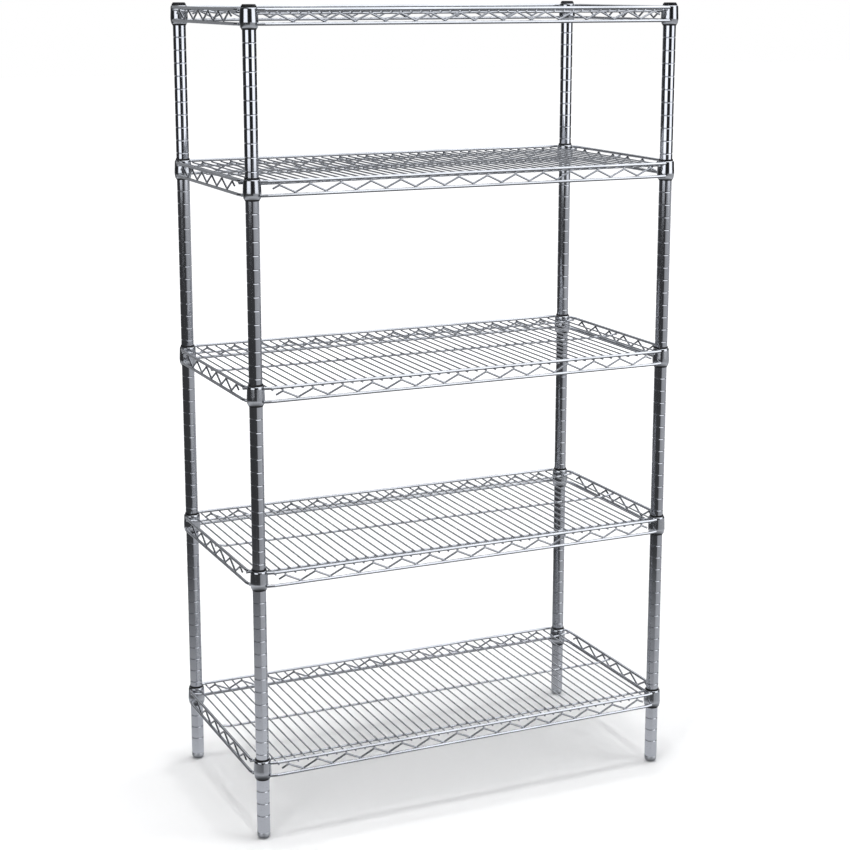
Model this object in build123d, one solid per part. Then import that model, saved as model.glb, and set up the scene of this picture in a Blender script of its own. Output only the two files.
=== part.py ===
from build123d import *
import os
from math import atan2, degrees, hypot

# Five-tier wire shelving rack: four grooved posts carry five welded wire shelves, each
# wedged on tapered split sleeves that lock into the posts' grooves. Millimetres, +Z up.
# The origin is on the floor, midway between the four posts; the front is towards -Y.

INCH = 25.4

# Overall size of a shelf, over the outer faces of its rails
SHELF_WIDTH = 36 * INCH
SHELF_DEPTH = 18 * INCH

# Wires, by diameter
RAIL_DIA = 6.0
DECK_DIA = 3.1
SUPPORT_DIA = 4.2
SNAKE_DIA = 3.8
WELD_SINK = 0.25              # how deep crossing wires melt into each other

# Posts
POST_DIA = 1 * INCH
POST_WALL = 1.2
POST_BOTTOM = 14.0            # the posts stand on the rim of the levelling feet
POST_TOP = 1586.8             # level with the rim of the top shelf's sleeves
GROOVE_PITCH = 1 * INCH
GROOVE_FIRST = 48.3           # height of the lowest groove
GROOVE_COUNT = 61
GROOVE_DEPTH = 0.6
GROOVE_HALF_MOUTH = 1.3
GROOVE_HALF_FLOOR = 0.35
POST_END_CHAMFER = 0.4

# Which groove holds each shelf, counted from the lowest one; tier 1 is the top shelf
TIER_GROOVES = {1: 60, 2: 48, 3: 33, 4: 19, 5: 4}

# Post caps
CAP_HEIGHT = 2.4
CAP_DIA = 25.2
CAP_EDGE = 1.6
CAP_PLUG_LENGTH = 14.0
CAP_PLUG_GAP = 0.05

# Levelling feet and the threaded inserts that hold them
FOOT_DIA = 25.0
FOOT_EDGE = 8.0
STUD_DIA = 9.5
STUD_LENGTH = 38.0
STUD_CHAMFER = 1.0
INSERT_LENGTH = 25.0
INSERT_GAP = 0.02
STUD_CLEARANCE = 0.08

# Split sleeves, measured down from their top rim
SLEEVE_HEIGHT = 42.5
SLEEVE_RIDGE_DROP = 14.5      # from the rim to the middle of the ridge inside
SLEEVE_GAP = 0.1              # between sleeve and post
SLEEVE_DRAFT = 0.02           # the sleeve's bore opens this much towards each end
SLEEVE_TOP_RADIUS = 14.0
SLEEVE_LOW_RADIUS = 14.5
SLEEVE_TIP_RADIUS = 13.5
SLEEVE_TAIL = 3.2             # what shows below the collar
SLEEVE_SLIT_DEG = 3.0
RIDGE_HEIGHT = 0.5
RIDGE_HALF_ROOT = 1.0
RIDGE_HALF_TIP = 0.3

# Corner collars
COLLAR_DROP = 3.5             # the collar starts this far below the sleeve's rim
COLLAR_CLEARANCE = 0.3        # between collar bore and sleeve
COLLAR_WALL_TOP = 0.9
COLLAR_SHOULDER_RADIUS = 16.2
COLLAR_SHOULDER_DROP = 6.6
COLLAR_BELLY_RADIUS = 17.2
COLLAR_BELLY_DROP = 29.0
COLLAR_WALL_LOW = 0.7

# Where the wires lie, measured down from the sleeve's rim
TOP_RAIL_DROP = 7.0
RAIL_PITCH = 1 * INCH         # between the top and bottom rails
RAIL_OFFSET = 17.5            # rail centre line outside the post axis
RAIL_END_REACH = 10.0         # the rails stop this far short of the post axis
RAIL_END_OFFSET = 14.8
RAIL_BEND_START = 23.0
RAIL_BEND_RADIUS = 12.0
WIRE_END_CHAMFER = 0.6

DECK_PITCH = 20.0
DECK_COUNT = 42               # full-depth deck wires; one short wire more at each side
DECK_OVERHANG = 1.6           # past the centre line of the front and back rails
SHORT_DECK_OVERHANG = 3.0     # past the outer support wires

SUPPORT_INSET = 38.0          # outer support wires, in from the front and back rails
SUPPORT_JOGGLE_START = 434.0
SUPPORT_JOGGLE_END = 445.0
SUPPORT_BEND_RADIUS = 12.0

SNAKE_PITCH = 3 * DECK_PITCH
SNAKE_LONG_PEAKS = 14
SNAKE_SIDE_PEAKS = 6
SNAKE_BEND_RADIUS = 5.0
SNAKE_END_SHARE = 0.45        # the cut ends stop this share of the way to a valley

# Derived positions
RAIL_R = RAIL_DIA / 2
DECK_R = DECK_DIA / 2
SUPPORT_R = SUPPORT_DIA / 2
SNAKE_R = SNAKE_DIA / 2
POST_R = POST_DIA / 2
BORE_R = POST_R - POST_WALL
RAIL_X = SHELF_WIDTH / 2 - RAIL_R
RAIL_Y = SHELF_DEPTH / 2 - RAIL_R
POST_X = RAIL_X - RAIL_OFFSET
POST_Y = RAIL_Y - RAIL_OFFSET
TOP_RAIL_Z = -TOP_RAIL_DROP
BOTTOM_RAIL_Z = TOP_RAIL_Z - RAIL_PITCH
DECK_Z = TOP_RAIL_Z - RAIL_R - DECK_R + WELD_SINK
SUPPORT_Z = DECK_Z - DECK_R - SUPPORT_R + WELD_SINK
SUPPORT_END_Z = TOP_RAIL_Z - RAIL_R - SUPPORT_R + WELD_SINK
FRONT_PEAK_Z = DECK_Z - DECK_R - SNAKE_R + WELD_SINK
SIDE_PEAK_Z = TOP_RAIL_Z - RAIL_R - SNAKE_R + WELD_SINK
VALLEY_Z = BOTTOM_RAIL_Z + RAIL_R + SNAKE_R - WELD_SINK

CORNERS = {"front_left": (-1, -1), "front_right": (1, -1), "back_left": (-1, 1), "back_right": (1, 1)}


def tier_height(tier):
    """Height of a tier's sleeve rims; its ridge drop places the ridge in a groove."""
    return GROOVE_FIRST + TIER_GROOVES[tier] * GROOVE_PITCH + SLEEVE_RIDGE_DROP


def turned(points):
    """A solid of revolution about Z from (radius, height) points."""
    outline = Polyline([(r, 0, z) for r, z in points], close=True)
    return revolve(make_face(outline), axis=Axis.Z)


def at_corner(shape, corner):
    """A copy of a shape moved from the origin to a post's axis."""
    side_x, side_y = CORNERS[corner]
    return Pos(side_x * POST_X, side_y * POST_Y, 0) * shape


def post():
    """A grooved steel tube, open at both ends."""
    points = [(BORE_R, POST_BOTTOM), (POST_R, POST_BOTTOM)]
    for index in range(GROOVE_COUNT):
        z = GROOVE_FIRST + index * GROOVE_PITCH
        points.append((POST_R, z - GROOVE_HALF_MOUTH))
        points.append((POST_R - GROOVE_DEPTH, z - GROOVE_HALF_FLOOR))
        points.append((POST_R - GROOVE_DEPTH, z + GROOVE_HALF_FLOOR))
        points.append((POST_R, z + GROOVE_HALF_MOUTH))
    points.append((POST_R, POST_TOP - POST_END_CHAMFER))
    points.append((POST_R - POST_END_CHAMFER, POST_TOP))
    points.append((BORE_R, POST_TOP))
    return turned(points)


def post_cap():
    """A push-in cap: a low domed head on a plug that fills the tube."""
    head_r = CAP_DIA / 2
    plug_r = BORE_R - CAP_PLUG_GAP
    head = Pos(0, 0, POST_TOP) * Cylinder(head_r, CAP_HEIGHT, align=(Align.CENTER, Align.CENTER, Align.MIN))
    head = fillet(head.edges().filter_by(GeomType.CIRCLE).sort_by(Axis.Z)[-1], CAP_EDGE)
    plug_z = POST_TOP - CAP_PLUG_LENGTH
    plug = Pos(0, 0, plug_z) * Cylinder(plug_r, CAP_PLUG_LENGTH, align=(Align.CENTER, Align.CENTER, Align.MIN))
    plug = chamfer(plug.edges().filter_by(GeomType.CIRCLE).sort_by(Axis.Z)[0], 1.0)
    return head + plug


def levelling_foot():
    """A domed foot with the stud that screws into the post's insert."""
    foot = Cylinder(FOOT_DIA / 2, POST_BOTTOM, align=(Align.CENTER, Align.CENTER, Align.MIN))
    foot = fillet(foot.edges().filter_by(GeomType.CIRCLE).sort_by(Axis.Z)[0], FOOT_EDGE)
    stud = Pos(0, 0, POST_BOTTOM) * Cylinder(
        STUD_DIA / 2, STUD_LENGTH, align=(Align.CENTER, Align.CENTER, Align.MIN)
    )
    stud = chamfer(stud.edges().filter_by(GeomType.CIRCLE).sort_by(Axis.Z)[-1], STUD_CHAMFER)
    return foot + stud


def foot_insert():
    """The nut-like insert pressed into the post's lower end."""
    outer_r = BORE_R - INSERT_GAP
    bore_r = STUD_DIA / 2 + STUD_CLEARANCE
    top = POST_BOTTOM + INSERT_LENGTH
    return turned([(bore_r, POST_BOTTOM), (outer_r, POST_BOTTOM), (outer_r, top), (bore_r, top)])


def sleeve_half(facing):
    """One half of a split sleeve, its middle facing the given direction in degrees."""
    inner = POST_R + SLEEVE_GAP
    ridge = inner - RIDGE_HEIGHT - SLEEVE_GAP
    tail_z = -SLEEVE_HEIGHT + SLEEVE_TAIL
    points = [
        (inner + SLEEVE_DRAFT, 0),
        (inner, -SLEEVE_RIDGE_DROP + RIDGE_HALF_ROOT),
        (ridge, -SLEEVE_RIDGE_DROP + RIDGE_HALF_TIP),
        (ridge, -SLEEVE_RIDGE_DROP - RIDGE_HALF_TIP),
        (inner, -SLEEVE_RIDGE_DROP - RIDGE_HALF_ROOT),
        (inner + SLEEVE_DRAFT, -SLEEVE_HEIGHT),
        (SLEEVE_TIP_RADIUS, -SLEEVE_HEIGHT),
        (SLEEVE_LOW_RADIUS, tail_z),
        (SLEEVE_TOP_RADIUS, 0),
    ]
    outline = Polyline([(r, 0, z) for r, z in points], close=True)
    sweep_deg = 180 - SLEEVE_SLIT_DEG
    half = revolve(make_face(outline), axis=Axis.Z, revolution_arc=sweep_deg)
    return Rot(0, 0, facing - sweep_deg / 2) * half


def collar():
    """The barrel-shaped corner collar with its tapered bore."""
    taper = (SLEEVE_LOW_RADIUS - SLEEVE_TOP_RADIUS) / (SLEEVE_HEIGHT - SLEEVE_TAIL)
    low_drop = SLEEVE_HEIGHT - SLEEVE_TAIL
    bore_top = SLEEVE_TOP_RADIUS + taper * COLLAR_DROP + COLLAR_CLEARANCE
    bore_low = SLEEVE_LOW_RADIUS + COLLAR_CLEARANCE
    rim_r = bore_top + COLLAR_WALL_TOP
    shoulder = Line((rim_r, 0, -COLLAR_DROP), (COLLAR_SHOULDER_RADIUS, 0, -COLLAR_SHOULDER_DROP))
    belly = Line(shoulder @ 1, (COLLAR_BELLY_RADIUS, 0, -COLLAR_BELLY_DROP))
    foot_r = bore_low + COLLAR_WALL_LOW
    skirt = TangentArc([belly @ 1, (foot_r, 0, -low_drop)], tangent=belly % 1)
    bottom = Line(skirt @ 1, (bore_low, 0, -low_drop))
    bore = Line(bottom @ 1, (bore_top, 0, -COLLAR_DROP))
    rim = Line(bore @ 1, shoulder @ 0)
    return revolve(make_face([shoulder, belly, skirt, bottom, bore, rim]), axis=Axis.Z)


def wire(points, bend_radius, radius):
    """A round wire along straight runs joined by arcs, with chamfered ends."""
    path = FilletPolyline(*points, radius=bend_radius)
    section = Plane(origin=path @ 0, z_dir=path % 0) * Circle(radius)
    body = sweep(section, path=path)
    ends = [e for e in body.edges().filter_by(GeomType.CIRCLE) if is_end_edge(e, path)]
    return chamfer(ends, WIRE_END_CHAMFER)


def is_end_edge(edge, path):
    """Whether a circular edge is the rim of one of the wire's two cut ends."""
    centre = edge.arc_center
    at_start = (centre - (path @ 0)).length < 0.01
    at_end = (centre - (path @ 1)).length < 0.01
    return at_start or at_end


def straight_wire(length, radius):
    """A straight wire along Y, centred on the origin, with chamfered ends."""
    rod = Rot(90, 0, 0) * Cylinder(radius, length)
    return chamfer(rod.edges().filter_by(GeomType.CIRCLE), WIRE_END_CHAMFER * 0.8)


def rail_points(half_run, offset, z):
    """Half of a rail's route in its own (along, outward) axes, from the far end inward."""
    end = half_run - RAIL_END_REACH
    bend = half_run - RAIL_BEND_START
    return [(end, RAIL_END_OFFSET - RAIL_OFFSET + offset, z), (bend, offset, z)]


def rails(z):
    """The four perimeter rails of one level: front, back, left and right."""
    long_half = rail_points(POST_X, RAIL_Y, z)
    side_half = rail_points(POST_Y, RAIL_X, z)
    long_route = long_half + [(-x, y, zz) for x, y, zz in reversed(long_half)]
    side_route = side_half + [(-y, x, zz) for y, x, zz in reversed(side_half)]
    back = wire(long_route, RAIL_BEND_RADIUS, RAIL_R)
    right = wire([(x, y, zz) for y, x, zz in side_route], RAIL_BEND_RADIUS, RAIL_R)
    front = Rot(0, 0, 180) * back
    left = Rot(0, 0, 180) * right
    return [front, back, left, right]


def snake(peaks, peak_z):
    """A zigzag wire in the XZ plane, centred on X = 0; its bends reach peak_z and VALLEY_Z."""
    half_pitch = SNAKE_PITCH / 2
    first = -SNAKE_PITCH * (peaks - 1) / 2
    slant = hypot(half_pitch, peak_z - VALLEY_Z) / half_pitch
    corner_past_bend = SNAKE_BEND_RADIUS * (slant - 1)
    top = peak_z + corner_past_bend
    bottom = VALLEY_Z - corner_past_bend
    cut_x = half_pitch * SNAKE_END_SHARE
    cut_z = top - (top - bottom) * SNAKE_END_SHARE
    points = [(first - cut_x, 0, cut_z)]
    for index in range(peaks):
        x = first + index * SNAKE_PITCH
        points.append((x, 0, top))
        if index < peaks - 1:
            points.append((x + half_pitch, 0, bottom))
    points.append((-first + cut_x, 0, cut_z))
    return wire(points, SNAKE_BEND_RADIUS, SNAKE_R)


def snake_trusses():
    """The four zigzag wires between the top and bottom rails."""
    long_snake = snake(SNAKE_LONG_PEAKS, FRONT_PEAK_Z)
    side_snake = Rot(0, 0, 90) * snake(SNAKE_SIDE_PEAKS, SIDE_PEAK_Z)
    front = Pos(0, -RAIL_Y, 0) * long_snake
    back = Pos(0, RAIL_Y, 0) * long_snake
    left = Pos(-RAIL_X, 0, 0) * side_snake
    right = Pos(RAIL_X, 0, 0) * side_snake
    return [front, back, left, right]


def deck_wires():
    """The front-to-back deck wires, with one shorter wire beside the collars at each end."""
    full = straight_wire(2 * (RAIL_Y + DECK_OVERHANG), DECK_R)
    short = straight_wire(2 * (RAIL_Y - SUPPORT_INSET + SHORT_DECK_OVERHANG), DECK_R)
    first = -DECK_PITCH * (DECK_COUNT - 1) / 2
    wires = [Pos(first + index * DECK_PITCH, 0, DECK_Z) * full for index in range(DECK_COUNT)]
    for side in (-1, 1):
        wires.append(Pos(side * (-first + DECK_PITCH), 0, DECK_Z) * short)
    return wires


def support_wires():
    """Three cross wires under the deck, joggled up to meet the side rails."""
    half = [
        (RAIL_X + SUPPORT_R / 2, 0, SUPPORT_END_Z),
        (SUPPORT_JOGGLE_END, 0, SUPPORT_END_Z),
        (SUPPORT_JOGGLE_START, 0, SUPPORT_Z),
    ]
    route = half + [(-x, y, z) for x, y, z in reversed(half)]
    support = wire(route, SUPPORT_BEND_RADIUS, SUPPORT_R)
    return [Pos(0, y, 0) * support for y in (SUPPORT_INSET - RAIL_Y, 0, RAIL_Y - SUPPORT_INSET)]


def sleeve_halves(outward):
    """The outer or inner halves of one tier's four split sleeves."""
    halves = []
    for corner, (side_x, side_y) in CORNERS.items():
        facing = degrees(atan2(side_y, side_x))
        half = sleeve_half(facing if outward else facing + 180)
        halves.append(at_corner(half, corner))
    return halves


def write_node(name, shapes, z=0.0):
    """Write one node: its solids, lifted by z."""
    solids = [Pos(0, 0, z) * solid for shape in shapes for solid in shape.solids()]
    node = solids[0] if len(solids) == 1 else Compound(solids)
    export_step(node, f"parts/{name}.step")


def main():
    os.makedirs("parts", exist_ok=True)

    corner_pieces = {
        "post": post(),
        "post_cap": post_cap(),
        "levelling_foot": levelling_foot(),
        "foot_insert": foot_insert(),
    }
    for name, shape in corner_pieces.items():
        for corner in CORNERS:
            write_node(f"{name}_{corner}", [at_corner(shape, corner)])

    shelf_pieces = {
        "corner_collars": [at_corner(collar(), corner) for corner in CORNERS],
        "top_rails": rails(TOP_RAIL_Z),
        "bottom_rails": rails(BOTTOM_RAIL_Z),
        "snake_trusses": snake_trusses(),
        "deck_wires": deck_wires(),
        "support_wires": support_wires(),
        "sleeve_outer_halves": sleeve_halves(True),
        "sleeve_inner_halves": sleeve_halves(False),
    }
    for tier in TIER_GROOVES:
        for name, shapes in shelf_pieces.items():
            write_node(f"{name}_{tier}", shapes, tier_height(tier))


main()
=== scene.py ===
import math
import random

import bmesh
import bpy
from mathutils import Matrix, Vector


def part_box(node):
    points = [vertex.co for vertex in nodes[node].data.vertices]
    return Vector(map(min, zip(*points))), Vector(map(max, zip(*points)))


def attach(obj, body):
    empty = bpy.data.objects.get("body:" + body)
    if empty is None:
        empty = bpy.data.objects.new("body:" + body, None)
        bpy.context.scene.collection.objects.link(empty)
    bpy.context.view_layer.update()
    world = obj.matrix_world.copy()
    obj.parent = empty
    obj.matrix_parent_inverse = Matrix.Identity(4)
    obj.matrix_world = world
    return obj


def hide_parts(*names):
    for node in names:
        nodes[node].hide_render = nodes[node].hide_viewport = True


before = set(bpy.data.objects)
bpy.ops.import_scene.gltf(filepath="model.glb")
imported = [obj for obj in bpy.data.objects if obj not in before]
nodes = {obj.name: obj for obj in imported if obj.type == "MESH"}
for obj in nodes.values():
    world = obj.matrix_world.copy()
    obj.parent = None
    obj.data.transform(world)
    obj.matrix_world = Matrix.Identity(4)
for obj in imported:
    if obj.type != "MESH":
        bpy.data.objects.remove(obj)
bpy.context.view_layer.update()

CORNERS = ("front_left", "front_right", "back_left", "back_right")
TIERS = (1, 2, 3, 4, 5)
MM = 0.001

# Posts and what is on their ends
BORE_R = 11.5 * MM
CAP_R = 12.6 * MM
CAP_HEIGHT = 2.4 * MM
CAP_PLUG = 14.0 * MM
FOOT_R = 12.5 * MM
FOOT_HEIGHT = 14.0 * MM
FOOT_EDGE = 8.0 * MM
STUD_R = 4.75 * MM
STUD_ROOT_R = 4.05 * MM
STUD_LENGTH = 38.0 * MM
THREAD_PITCH = 1.5875 * MM

# Split sleeves and collars, measured down from the sleeve's rim
SLEEVE_HEIGHT = 42.5 * MM
SLEEVE_BORE_R = 12.8 * MM
SLEEVE_TOP_R = 14.0 * MM
SLEEVE_LOW_R = 14.5 * MM
SLEEVE_TIP_R = 13.5 * MM
SLEEVE_TAIL = 3.2 * MM
SLEEVE_SLIT_DEG = 3.0
COLLAR_DROP = 3.5 * MM
COLLAR_BORE_TOP_R = 14.35 * MM
COLLAR_BORE_LOW_R = 14.8 * MM
COLLAR_BELLY_R = 17.15 * MM

# Wires
RAIL_R = 3.0 * MM
DECK_R = 1.55 * MM
DECK_PITCH = 20.0 * MM
DECK_COUNT = 42
SNAKE_PITCH = 60.0 * MM
SNAKE_LONG_PEAKS = 14
SNAKE_SIDE_PEAKS = 6
SUPPORT_INSET = 38.0 * MM
RAIL_END_REACH = 10.0 * MM
RAIL_END_OFFSET = 14.8 * MM

# Half sizes of the weld nuggets, in millimetres along X, Y and Z
WELD_DECK_TO_RAIL = (2.1, 2.3, 0.75)
WELD_DECK_TO_SUPPORT = (1.9, 2.0, 0.6)
WELD_SUPPORT_TO_RAIL = (2.2, 2.6, 0.9)
WELD_TRUSS_TO_DECK = (2.6, 1.7, 0.7)
WELD_LONG_TRUSS_TO_RAIL = (3.2, 1.7, 0.7)
WELD_SIDE_TRUSS_TO_RAIL = (1.7, 3.2, 0.7)
WELD_LONG_RAIL_TO_COLLAR = (4.2, 1.2, 2.5)
WELD_SIDE_RAIL_TO_COLLAR = (1.2, 4.2, 2.5)
WELD_COLLAR_TURN = 0.7
WELD_GROWTH = 0.15
WELD_TURN = 0.12
WELD_SEED = 7

# Floor: its own glow grows with the distance from the rack, so that it fades into the white behind
FLOOR_SIZE = 60.0
GLOW_START = 1.0
GLOW_FULL = 4.5
GLOW_NEAR = 0.03

# World: its share of the light on matt surfaces, its brightness, its tint and the way to its gap
AMBIENT_SHARE = 0.12
STUDIO_GAIN = 1.65
STUDIO_TINT = (0.965, 0.99, 1.04)
GAP_DIRECTION_DEG = -99.0

# Softboxes: name, place, the point it faces, width, height, power in watts
SOFTBOXES = (
    ("key_softbox", (-2.6, -2.4, 2.6), (0, 0, 0.9), 0.7, 2.2, 28),
    ("fill_softbox", (2.8, -2.2, 2.0), (0, 0, 0.8), 0.8, 2.2, 18),
    ("top_softbox", (0.0, 0.0, 3.4), (0, 0, 0), 2.0, 1.6, 165),
)

# Camera
CAMERA_PLACE = (-1.535, -3.354, 1.620)
CAMERA_YAW_DEG = 24.57
CAMERA_PITCH_DEG = 11.47
CAMERA_SENSOR = 36.0
CAMERA_LENS = 77.9
CAMERA_SHIFT_X = 0.0022
CAMERA_SHIFT_Y = -0.077


def middle(node):
    """The middle of a CAD node's box."""
    low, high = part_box(node)
    return (low + high) / 2


def tier_rim(tier):
    """Height of a tier's sleeve rims."""
    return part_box(f"sleeve_outer_halves_{tier}")[1].z


POST_XY = {corner: middle(f"post_{corner}").xy for corner in CORNERS}
POST_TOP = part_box("post_front_left")[1].z
OUTWARD = {corner: Vector((math.copysign(1, x), math.copysign(1, y))) for corner, (x, y) in POST_XY.items()}


# ---------------------------------------------------------------- materials

def new_material(name):
    """An empty node material and its shader."""
    material = bpy.data.materials.new(name)
    material.use_nodes = True
    tree = material.node_tree
    shader = tree.nodes["Principled BSDF"]
    return material, tree, shader


def noise(tree, scale, detail, stretch=(1, 1, 1)):
    """A noise texture in object space, stretched along the axes as asked."""
    coords = tree.nodes.new("ShaderNodeTexCoord")
    mapping = tree.nodes.new("ShaderNodeMapping")
    mapping.inputs["Scale"].default_value = stretch
    texture = tree.nodes.new("ShaderNodeTexNoise")
    texture.inputs["Scale"].default_value = scale
    texture.inputs["Detail"].default_value = detail
    tree.links.new(coords.outputs["Object"], mapping.inputs["Vector"])
    tree.links.new(mapping.outputs["Vector"], texture.inputs["Vector"])
    return texture.outputs["Fac"]


def ramp(tree, source, low, high, low_value, high_value):
    """Map a value between two stops onto two other values, which it holds beyond the stops."""
    node = tree.nodes.new("ShaderNodeMapRange")
    node.inputs["From Min"].default_value = low
    node.inputs["From Max"].default_value = high
    node.inputs["To Min"].default_value = low_value
    node.inputs["To Max"].default_value = high_value
    tree.links.new(source, node.inputs["Value"])
    return node.outputs["Result"]


def mix_colour(tree, factor, first, second):
    """Blend two colours; either may be a socket."""
    node = tree.nodes.new("ShaderNodeMix")
    node.data_type = "RGBA"
    tree.links.new(factor, node.inputs["Factor"])
    for socket, value in (("A", first), ("B", second)):
        target = [i for i in node.inputs if i.name == socket and i.type == "RGBA"][0]
        if isinstance(value, tuple):
            target.default_value = value + (1.0,)
        else:
            tree.links.new(value, target)
    return [o for o in node.outputs if o.type == "RGBA"][0]


def bump(tree, shader, height, strength, distance):
    """Feed a height into the shader's normal."""
    node = tree.nodes.new("ShaderNodeBump")
    node.inputs["Strength"].default_value = strength
    node.inputs["Distance"].default_value = distance
    tree.links.new(height, node.inputs["Height"])
    tree.links.new(node.outputs["Normal"], shader.inputs["Normal"])


def chrome(name, bright, dull, rough_low, rough_high, stretch, relief=0.12):
    """Bright plating: hazy patches, fine drawing lines along the metal and worn, duller spots."""
    material, tree, shader = new_material(name)
    shader.inputs["Metallic"].default_value = 1.0
    haze = noise(tree, 9.0, 4.0)
    lines = noise(tree, 260.0, 3.0, stretch)
    specks = noise(tree, 420.0, 5.0)
    wear = ramp(tree, haze, 0.35, 0.72, 0.0, 1.0)
    pits = ramp(tree, specks, 0.62, 0.72, 0.0, 0.35)
    base = mix_colour(tree, wear, bright, dull)
    pit_colour = tuple(0.55 * c for c in dull)
    tree.links.new(mix_colour(tree, pits, base, pit_colour), shader.inputs["Base Color"])
    roughness = tree.nodes.new("ShaderNodeMath")
    roughness.operation = "ADD"
    tree.links.new(ramp(tree, haze, 0.3, 0.75, rough_low, rough_high), roughness.inputs[0])
    tree.links.new(ramp(tree, lines, 0.35, 0.7, 0.0, 0.35 * rough_high), roughness.inputs[1])
    tree.links.new(roughness.outputs[0], shader.inputs["Roughness"])
    bump(tree, shader, lines, relief, 0.00012)
    return material


def plastic(name, colour, worn, rough_low, rough_high):
    """Moulded black plastic with a fine grain and slightly greyed patches."""
    material, tree, shader = new_material(name)
    shader.inputs["Specular IOR Level"].default_value = 0.14
    patches = noise(tree, 60.0, 3.0)
    grain = noise(tree, 1400.0, 2.0)
    tree.links.new(mix_colour(tree, ramp(tree, patches, 0.4, 0.75, 0.0, 1.0), colour, worn),
                   shader.inputs["Base Color"])
    tree.links.new(ramp(tree, patches, 0.3, 0.8, rough_low, rough_high), shader.inputs["Roughness"])
    bump(tree, shader, grain, 0.25, 0.0001)
    return material


POST_CHROME = chrome(
    "post_chrome_plate", (0.68, 0.69, 0.72), (0.55, 0.56, 0.59), 0.04, 0.09, (1, 1, 0.02), 0.05)
RAIL_CHROME = chrome(
    "rail_chrome_plate", (0.68, 0.69, 0.71), (0.52, 0.53, 0.55), 0.10, 0.20, (1, 1, 1))
WIRE_CHROME = chrome(
    "wire_chrome_plate", (0.62, 0.63, 0.65), (0.46, 0.47, 0.49), 0.12, 0.24, (1, 0.05, 1))
# Painted shade: the trusses get the rack's chrome with a darker base, so they read darker than rails of the
# same plating.
TRUSS_CHROME_PAINTED_DARKER = chrome(
    "truss_chrome_plate_painted_darker", (0.48, 0.49, 0.51), (0.33, 0.34, 0.36), 0.09, 0.19, (1, 1, 0.3))
COLLAR_CHROME = chrome(
    "collar_chrome_plate", (0.62, 0.63, 0.65), (0.48, 0.49, 0.51), 0.07, 0.15, (1, 1, 0.1), 0.06)
FOOT_METAL = chrome("foot_plate", (0.70, 0.71, 0.73), (0.56, 0.57, 0.59), 0.38, 0.50, (1, 1, 1))
ZINC = chrome("zinc_plate", (0.55, 0.54, 0.50), (0.38, 0.38, 0.36), 0.32, 0.46, (1, 1, 1))
SLEEVE_BLACK = plastic("sleeve_black", (0.008, 0.008, 0.009), (0.022, 0.022, 0.023), 0.38, 0.55)
CAP_BLACK = plastic("cap_black", (0.008, 0.008, 0.009), (0.022, 0.022, 0.024), 0.34, 0.52)


# ---------------------------------------------------------------- mesh helpers

class Shape:
    """Collects points and faces of one piece."""

    def __init__(self):
        self.points = []
        self.faces = []

    def add(self, points, faces, matrix=Matrix.Identity(4)):
        """Add points and faces, moved by a matrix."""
        start = len(self.points)
        self.points += [matrix @ Vector(p) for p in points]
        self.faces += [tuple(start + i for i in face) for face in faces]

    def lathe(self, profile, segments, matrix=Matrix.Identity(4), arc_deg=360.0):
        """Turn a closed (radius, height) outline, given counter-clockwise, about Z."""
        full = arc_deg >= 360.0
        columns = segments if full else segments + 1
        points = []
        for column in range(columns):
            angle = math.radians(arc_deg) * column / segments
            points += [(r * math.cos(angle), r * math.sin(angle), z) for r, z in profile]
        count = len(profile)
        faces = []
        for column in range(segments):
            near = column * count
            far = ((column + 1) % columns) * count
            for row in range(count):
                nxt = (row + 1) % count
                quad = (near + row, far + row, far + nxt, near + nxt)
                faces.append(self.without_poles(quad, profile[row][0], profile[nxt][0]))
        if not full:
            faces.append(tuple(range(count)))
            faces.append(tuple((columns - 1) * count + i for i in reversed(range(count))))
        self.add(points, [face for face in faces if face], matrix)

    @staticmethod
    def without_poles(quad, low_r, high_r):
        """A quad that touches the axis becomes a triangle, and one along it is dropped."""
        if low_r == 0 and high_r == 0:
            return None
        if low_r == 0:
            return (quad[0], quad[2], quad[3])
        if high_r == 0:
            return (quad[0], quad[1], quad[2])
        return quad

    def nugget(self, centre, size, turn=0.0, rings=6, segments=10):
        """A small weld nugget: a flattened, closed ellipsoid."""
        points = [(0, 0, -1)]
        for ring in range(1, rings):
            polar = math.pi * ring / rings
            for segment in range(segments):
                angle = math.tau * segment / segments
                points.append((math.sin(polar) * math.cos(angle), math.sin(polar) * math.sin(angle),
                               -math.cos(polar)))
        points.append((0, 0, 1))
        faces = []
        last = len(points) - 1
        for segment in range(segments):
            nxt = (segment + 1) % segments
            faces.append((0, 1 + nxt, 1 + segment))
            for ring in range(rings - 2):
                a = 1 + ring * segments
                b = a + segments
                faces.append((a + segment, a + nxt, b + nxt, b + segment))
            top = 1 + (rings - 2) * segments
            faces.append((top + segment, top + nxt, last))
        matrix = Matrix.Translation(centre) @ Matrix.Rotation(turn, 4, "Z") @ Matrix.Diagonal((*size, 1))
        self.add(points, faces, matrix)

    def piece(self, name, body, material, slot, sharp_deg, *replaced):
        """Make the object, put it on its body and hide the CAD parts it stands for."""
        mesh = bpy.data.meshes.new(name)
        mesh.from_pydata([tuple(p) for p in self.points], [], self.faces)
        merge_poles(mesh)
        mesh.shade_smooth()
        mesh.set_sharp_from_angle(angle=math.radians(sharp_deg))
        mesh.materials.append(material)
        made = bpy.data.objects.new(name, mesh)
        bpy.context.scene.collection.objects.link(made)
        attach(made, body)
        if replaced:
            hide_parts(*replaced)


def merge_poles(mesh):
    """Join points that lie on each other, as on a lathe's axis, and turn every face outwards."""
    work = bmesh.new()
    work.from_mesh(mesh)
    bmesh.ops.remove_doubles(work, verts=work.verts, dist=1e-7)
    bmesh.ops.recalc_face_normals(work, faces=work.faces)
    work.to_mesh(mesh)
    work.free()


def arc_points(centre_r, centre_z, radius, start_deg, end_deg, steps):
    """Points of an arc in a (radius, height) outline."""
    points = []
    for step in range(steps + 1):
        angle = math.radians(start_deg + (end_deg - start_deg) * step / steps)
        points.append((centre_r + radius * math.cos(angle), centre_z + radius * math.sin(angle)))
    return points


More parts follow.
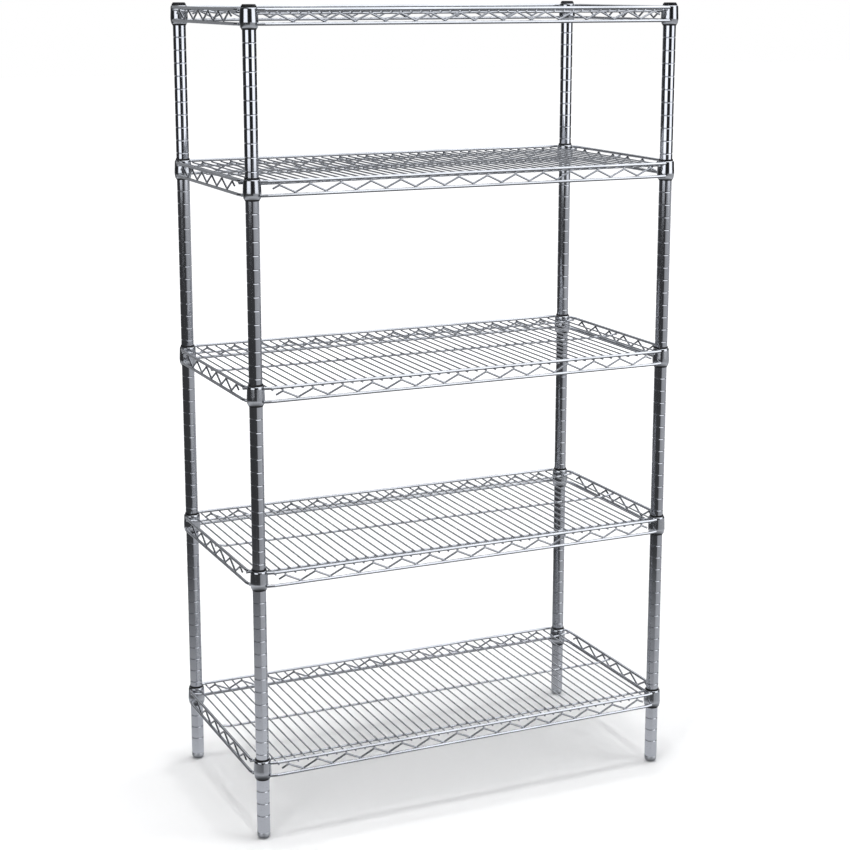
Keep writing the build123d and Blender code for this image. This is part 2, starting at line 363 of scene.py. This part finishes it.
def at_post(corner, z=0.0):
    """The matrix that moves a shape from the origin to a post's axis."""
    x, y = POST_XY[corner]
    return Matrix.Translation((x, y, z))


# ---------------------------------------------------------------- pieces on the posts

def cap_profile():
    """A crowned cap with a rounded edge, a shallow dish and its plug below."""
    outline = [(0, -CAP_PLUG), (BORE_R - 1.1 * MM, -CAP_PLUG), (BORE_R - 0.1 * MM, -CAP_PLUG + 1.0 * MM)]
    outline += [(BORE_R - 0.1 * MM, 0), (CAP_R - 0.25 * MM, 0), (CAP_R, 0.25 * MM)]
    edge = 1.6 * MM
    outline += arc_points(CAP_R - edge, CAP_HEIGHT - edge, edge, 0, 82, 7)
    outline += [(8.4 * MM, CAP_HEIGHT), (7.9 * MM, CAP_HEIGHT - 0.35 * MM), (0, CAP_HEIGHT - 0.3 * MM)]
    return outline


def make_caps():
    """The four post caps."""
    for corner in CORNERS:
        shape = Shape()
        shape.lathe(cap_profile(), 56, at_post(corner, POST_TOP))
        shape.piece(f"moulded_cap_{corner}", "posts", CAP_BLACK, "cap_plastic", 40, f"post_cap_{corner}")


def foot_profile():
    """The rounded foot, with a small flat base and a turned line near its top."""
    base_r = FOOT_R - FOOT_EDGE
    outline = [(0, 0)]
    outline += [(base_r, 0)]
    outline += arc_points(base_r, FOOT_EDGE, FOOT_EDGE, -80, 0, 9)
    outline += [(FOOT_R, FOOT_HEIGHT - 0.5 * MM), (FOOT_R - 0.35 * MM, FOOT_HEIGHT)]
    outline += [(0, FOOT_HEIGHT)]
    return outline


def add_thread(shape, low_z, matrix):
    """The stud's helical thread: a rod whose radius follows the turn and the height."""
    columns = 28
    rows_per_turn = 6
    step = THREAD_PITCH / rows_per_turn
    rows = int(STUD_LENGTH / step)
    points = [(0, 0, low_z)]
    for row in range(rows + 1):
        z = low_z + row * step
        fade = min(1.0, (rows - row) / (1.5 * rows_per_turn))
        for column in range(columns):
            angle = math.tau * column / columns
            phase = (z / THREAD_PITCH - column / columns) % 1.0
            ridge = 1.0 - abs(2.0 * phase - 1.0)
            radius = STUD_ROOT_R + (STUD_R - STUD_ROOT_R) * min(1.0, 1.35 * ridge) * fade
            points.append((radius * math.cos(angle), radius * math.sin(angle), z))
    points.append((0, 0, low_z + rows * step))
    faces = []
    last = len(points) - 1
    for column in range(columns):
        nxt = (column + 1) % columns
        faces.append((0, 1 + nxt, 1 + column))
        for row in range(rows):
            a = 1 + row * columns
            b = a + columns
            faces.append((a + column, a + nxt, b + nxt, b + column))
        top = 1 + rows * columns
        faces.append((top + column, top + nxt, last))
    shape.add(points, faces, matrix)


def make_feet():
    """The four levelling feet with their studs."""
    for corner in CORNERS:
        shape = Shape()
        shape.lathe(foot_profile(), 56, at_post(corner))
        add_thread(shape, FOOT_HEIGHT - 0.5 * MM, at_post(corner))
        shape.piece(f"rounded_foot_{corner}", f"foot_{corner}", FOOT_METAL, "foot_steel", 50,
                    f"levelling_foot_{corner}")


# ---------------------------------------------------------------- sleeves and collars

def sleeve_profile():
    """One half sleeve's wall, with a softened rim and tail."""
    lip = 0.45 * MM
    return [
        (SLEEVE_BORE_R, -SLEEVE_HEIGHT + lip),
        (SLEEVE_BORE_R + lip * 0.5, -SLEEVE_HEIGHT),
        (SLEEVE_TIP_R - lip, -SLEEVE_HEIGHT),
        (SLEEVE_TIP_R, -SLEEVE_HEIGHT + lip),
        (SLEEVE_LOW_R, -SLEEVE_HEIGHT + SLEEVE_TAIL),
        (SLEEVE_TOP_R, -lip * 1.6),
        (SLEEVE_TOP_R - lip * 0.4, -lip * 0.5),
        (SLEEVE_TOP_R - lip, 0),
        (SLEEVE_BORE_R + lip * 0.4, 0),
        (SLEEVE_BORE_R, -lip * 0.4),
    ]


def make_sleeves():
    """Each tier's outer and inner sleeve halves."""
    arc = 180.0 - SLEEVE_SLIT_DEG
    for tier in TIERS:
        rim = tier_rim(tier)
        for side, turn in (("outer", 0.0), ("inner", 180.0)):
            shape = Shape()
            for corner in CORNERS:
                facing = math.degrees(math.atan2(OUTWARD[corner].y, OUTWARD[corner].x)) + turn
                spin = Matrix.Rotation(math.radians(facing - arc / 2), 4, "Z")
                shape.lathe(sleeve_profile(), 30, at_post(corner, rim) @ spin, arc)
            shape.piece(f"moulded_sleeves_{side}_{tier}", "posts", SLEEVE_BLACK, "sleeve_plastic", 45,
                        f"sleeve_{side}_halves_{tier}")


def collar_profile():
    """The barrel: rolled rim, swelling belly and a rounded skirt drawn in at the bottom."""
    low = -SLEEVE_HEIGHT + SLEEVE_TAIL
    high = -COLLAR_DROP
    bore = [(COLLAR_BORE_TOP_R, high - 0.3 * MM), (COLLAR_BORE_LOW_R, low + 0.2 * MM)]
    skirt = [(COLLAR_BORE_LOW_R + 0.25 * MM, low), (15.3 * MM, low), (15.62 * MM, low + 0.9 * MM)]
    skirt += [(16.25 * MM, low + 3.6 * MM), (16.78 * MM, low + 6.6 * MM), (17.1 * MM, low + 9.2 * MM)]
    belly = [(COLLAR_BELLY_R, low + 11.5 * MM), (16.95 * MM, low + 17.0 * MM), (16.6 * MM, low + 24.0 * MM)]
    shoulder = [(16.35 * MM, high - 4.6 * MM), (16.27 * MM, high - 3.0 * MM), (16.05 * MM, high - 1.9 * MM)]
    rim = [(15.65 * MM, high - 1.0 * MM), (15.15 * MM, high - 0.3 * MM)]
    rim += [(14.8 * MM, high), (14.55 * MM, high)]
    return bore + skirt + belly + shoulder + rim


def make_collars():
    """Each tier's four collars."""
    for tier in TIERS:
        shape = Shape()
        for corner in CORNERS:
            shape.lathe(collar_profile(), 64, at_post(corner, tier_rim(tier)))
        shape.piece(f"formed_collars_{tier}", f"shelf_{tier}", COLLAR_CHROME, "collar_chrome", 50,
                    f"corner_collars_{tier}")


# ---------------------------------------------------------------- welds

def deck_places():
    """Where the full deck wires lie, along X."""
    first = -DECK_PITCH * (DECK_COUNT - 1) / 2
    return [first + index * DECK_PITCH for index in range(DECK_COUNT)]


def snake_places(peaks):
    """Where a truss wire's peaks lie along its run, and its valleys between them."""
    first = -SNAKE_PITCH * (peaks - 1) / 2
    tops = [first + index * SNAKE_PITCH for index in range(peaks)]
    return tops, [top + SNAKE_PITCH / 2 for top in tops[:-1]]


def make_welds():
    """Weld nuggets where wires cross and where rails meet collars, a little different each time."""
    rng = random.Random(WELD_SEED)
    for tier in TIERS:
        top_low, top_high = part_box(f"top_rails_{tier}")
        bottom_rail_z = middle(f"bottom_rails_{tier}").z
        top_rail_z = (top_low.z + top_high.z) / 2
        deck_z = middle(f"deck_wires_{tier}").z
        rail_x = top_high.x - RAIL_R
        rail_y = top_high.y - RAIL_R
        support_y = rail_y - SUPPORT_INSET
        shape = Shape()

        def weld(x, y, z, half_size, turn=0.0):
            grow = rng.uniform(1 - WELD_GROWTH, 1 + WELD_GROWTH)
            size = Vector(half_size) * grow * MM
            shape.nugget(Vector((x, y, z)), size, turn + rng.uniform(-WELD_TURN, WELD_TURN))

        for x in deck_places():
            for side in (-1, 1):
                weld(x, side * rail_y, deck_z + DECK_R, WELD_DECK_TO_RAIL)
            for y in (-support_y, 0, support_y):
                weld(x, y, deck_z - DECK_R, WELD_DECK_TO_SUPPORT)
        short_x = deck_places()[-1] + DECK_PITCH
        for side in (-1, 1):
            for y in (-support_y, 0, support_y):
                weld(side * short_x, y, deck_z - DECK_R, WELD_DECK_TO_SUPPORT)
                weld(side * rail_x, y, top_rail_z - RAIL_R, WELD_SUPPORT_TO_RAIL)
        tops, valleys = snake_places(SNAKE_LONG_PEAKS)
        for side in (-1, 1):
            for x in tops:
                weld(x, side * rail_y, deck_z - DECK_R, WELD_TRUSS_TO_DECK)
            for x in valleys:
                weld(x, side * rail_y, bottom_rail_z + RAIL_R, WELD_LONG_TRUSS_TO_RAIL)
        tops, valleys = snake_places(SNAKE_SIDE_PEAKS)
        for side in (-1, 1):
            for y in tops:
                weld(side * rail_x, y, top_rail_z - RAIL_R, WELD_SIDE_TRUSS_TO_RAIL)
            for y in valleys:
                weld(side * rail_x, y, bottom_rail_z + RAIL_R, WELD_SIDE_TRUSS_TO_RAIL)
        for corner, (x, y) in POST_XY.items():
            out = OUTWARD[corner]
            near = RAIL_END_REACH + 1.5 * MM
            far = RAIL_END_OFFSET - RAIL_R + 0.5 * MM
            turn = -WELD_COLLAR_TURN * out.x * out.y
            for z in (top_rail_z, bottom_rail_z):
                weld(x - out.x * near, y + out.y * far, z, WELD_LONG_RAIL_TO_COLLAR, turn)
                weld(x + out.x * far, y - out.y * near, z, WELD_SIDE_RAIL_TO_COLLAR, turn)
        shape.piece(f"weld_nuggets_{tier}", f"shelf_{tier}", RAIL_CHROME, "rail_chrome", 60)


# ---------------------------------------------------------------- carried-over nodes

def finish_cad_nodes():
    """Give the CAD nodes that stay their materials."""
    finishes = {"post_": POST_CHROME, "foot_insert_": ZINC, "top_rails_": RAIL_CHROME,
                "bottom_rails_": RAIL_CHROME, "snake_trusses_": TRUSS_CHROME_PAINTED_DARKER,
                "deck_wires_": WIRE_CHROME, "support_wires_": WIRE_CHROME}
    for name, node in nodes.items():
        for start, material in finishes.items():
            if name.startswith(start) and not name.startswith("post_cap"):
                node.data.materials.clear()
                node.data.materials.append(material)


# ---------------------------------------------------------------- studio

def make_floor():
    """A pale floor that glows more the farther it lies from the rack: painted light, not lamp light. It is
    left out of the metal's reflections, which see the world instead.
    """
    mesh = bpy.data.meshes.new("studio_floor")
    half = FLOOR_SIZE / 2
    corners = [(-half, -half, 0), (half, -half, 0), (half, half, 0), (-half, half, 0)]
    mesh.from_pydata(corners, [], [(0, 1, 2, 3)])
    material, tree, shader = new_material("floor_paint_and_painted_glow")
    tone = mix_colour(tree, noise(tree, 1.5, 3.0), (0.80, 0.80, 0.80), (0.84, 0.84, 0.84))
    tree.links.new(tone, shader.inputs["Base Color"])
    shader.inputs["Roughness"].default_value = 0.9
    shader.inputs["Specular IOR Level"].default_value = 0.0
    shader.inputs["Emission Color"].default_value = (1.0, 1.0, 1.0, 1.0)
    # Painted light: the floor's emission grows with the distance from the rack's centre, dim near the rack
    # and white far off.
    coords = tree.nodes.new("ShaderNodeTexCoord")
    length = tree.nodes.new("ShaderNodeVectorMath")
    length.operation = "LENGTH"
    tree.links.new(coords.outputs["Object"], length.inputs[0])
    glow = ramp(tree, length.outputs["Value"], GLOW_START, GLOW_FULL, GLOW_NEAR, 1.0)
    tree.links.new(glow, shader.inputs["Emission Strength"])
    mesh.materials.append(material)
    floor = bpy.data.objects.new("studio_floor", mesh)
    floor.visible_glossy = False
    bpy.context.scene.collection.objects.link(floor)


def area_light(name, place, aim, size_x, size_y, power):
    """A softbox at a place, facing a point. Reflections leave it out and show the world instead."""
    data = bpy.data.lights.new(name, "AREA")
    data.shape = "RECTANGLE"
    data.size = size_x
    data.size_y = size_y
    data.energy = power
    light = bpy.data.objects.new(name, data)
    light.location = place
    light.visible_glossy = False
    light.rotation_euler = (Vector(aim) - Vector(place)).to_track_quat("-Z", "Y").to_euler()
    bpy.context.scene.collection.objects.link(light)


def maths(tree, operation, first, second=None):
    """A maths node; each input is a socket or a number."""
    node = tree.nodes.new("ShaderNodeMath")
    node.operation = operation
    for index, value in enumerate((first, second)):
        if isinstance(value, (int, float)):
            node.inputs[index].default_value = value
        elif value is not None:
            tree.links.new(value, node.inputs[index])
    return node.outputs[0]


def stops(tree, source, *places):
    """A colour ramp over a 0-1 source, from (place, grey level) stops."""
    node = tree.nodes.new("ShaderNodeValToRGB")
    tree.links.new(source, node.inputs["Fac"])
    elements = node.color_ramp.elements
    for index, (place, level) in enumerate(places):
        element = elements[index] if index < 2 else elements.new(place)
        element.position = place
        element.color = (level, level, level, 1)
    return node.outputs["Color"]


def make_world():
    """White to the camera; to all else, a studio of walls, dark gaps, a ceiling and a ground.

    Level with the eye are two white walls. The gap between them in front of the rack is dark, and
    so is all behind the rack but for a grey panel. Below the walls the left side is dark and the
    right side grey, and lower still all is grey over a dark ground. The ceiling is white but for
    its left part, and the gap in front runs up into it.
    """
    world = bpy.data.worlds.new("studio")
    bpy.context.scene.world = world
    world.use_nodes = True
    tree = world.node_tree
    background = tree.nodes["Background"]
    coords = tree.nodes.new("ShaderNodeTexCoord")
    parts = tree.nodes.new("ShaderNodeSeparateXYZ")
    tree.links.new(coords.outputs["Generated"], parts.inputs[0])
    turn = maths(tree, "ARCTAN2", parts.outputs["Y"], parts.outputs["X"])
    from_gap = maths(tree, "SUBTRACT", turn, math.radians(GAP_DIRECTION_DEG))
    frontness = ramp(tree, maths(tree, "COSINE", from_gap), -1.0, 1.0, 0.0, 1.0)
    rightness = ramp(tree, maths(tree, "SINE", from_gap), -1.0, 1.0, 0.0, 1.0)
    height = ramp(tree, parts.outputs["Z"], -1.0, 1.0, 0.0, 1.0)
    sideways = ramp(tree, parts.outputs["X"], -1.0, 1.0, 0.0, 1.0)

    ground = stops(tree, height, (0.0, 0.02), (0.14, 0.05), (0.23, 0.26), (0.29, 0.40), (0.36, 0.38))
    middle_band = stops(tree, rightness, (0.0, 0.03), (0.50, 0.035), (0.57, 0.24), (1.0, 0.30))
    walls = stops(tree, frontness, (0.0, 0.02), (0.60, 0.015), (0.68, 1.0), (0.93, 1.0),
                  (0.955, 0.03), (1.0, 0.01))
    ceiling = stops(tree, sideways, (0.0, 0.03), (0.34, 0.03), (0.48, 1.0), (1.0, 1.0))
    beside_gap = stops(tree, frontness, (0.0, 1.0), (0.93, 1.0), (0.955, 0.0))
    panel = stops(tree, frontness, (0.0, 0.19), (0.06, 0.17), (0.12, 0.0))

    studio = mix_colour(tree, ramp(tree, height, 0.30, 0.35, 0.0, 1.0), ground, middle_band)
    studio = mix_colour(tree, ramp(tree, height, 0.445, 0.455, 0.0, 1.0), studio, walls)
    over_gap = maths(tree, "MAXIMUM", beside_gap, ramp(tree, height, 0.80, 0.88, 0.0, 1.0))
    overhead = maths(tree, "MINIMUM", over_gap, ramp(tree, height, 0.68, 0.80, 0.0, 1.0))
    studio = mix_colour(tree, overhead, studio, ceiling)
    with_panel = tree.nodes.new("ShaderNodeVectorMath")
    with_panel.operation = "MAXIMUM"
    tree.links.new(studio, with_panel.inputs[0])
    tree.links.new(panel, with_panel.inputs[1])
    tinted = tree.nodes.new("ShaderNodeVectorMath")
    tinted.operation = "MULTIPLY"
    tinted.inputs[1].default_value = [STUDIO_GAIN * share for share in STUDIO_TINT]
    tree.links.new(with_panel.outputs[0], tinted.inputs[0])
    path = tree.nodes.new("ShaderNodeLightPath")
    seen = mix_colour(tree, path.outputs["Is Camera Ray"], tinted.outputs[0], (1.0, 1.0, 1.0))
    tree.links.new(seen, background.inputs["Color"])
    share = ramp(tree, path.outputs["Is Diffuse Ray"], 0.0, 1.0, 1.0, AMBIENT_SHARE)
    tree.links.new(share, background.inputs["Strength"])


def make_camera():
    """The photograph's viewpoint: front left, a little above the top shelf, looking slightly down."""
    data = bpy.data.cameras.new("camera")
    data.sensor_width = CAMERA_SENSOR
    data.lens = CAMERA_LENS
    data.shift_x = CAMERA_SHIFT_X
    data.shift_y = CAMERA_SHIFT_Y
    camera = bpy.data.objects.new("camera", data)
    camera.location = CAMERA_PLACE
    camera.rotation_euler = (math.radians(90 - CAMERA_PITCH_DEG), 0, math.radians(-CAMERA_YAW_DEG))
    bpy.context.scene.collection.objects.link(camera)
    bpy.context.scene.camera = camera


def make_studio():
    """The floor, the world, the lights and the camera."""
    make_floor()
    make_world()
    for softbox in SOFTBOXES:
        area_light(*softbox)
    make_camera()
    bpy.context.scene.view_settings.view_transform = "Standard"


make_caps()
make_feet()
make_sleeves()
make_collars()
make_welds()
finish_cad_nodes()
make_studio()
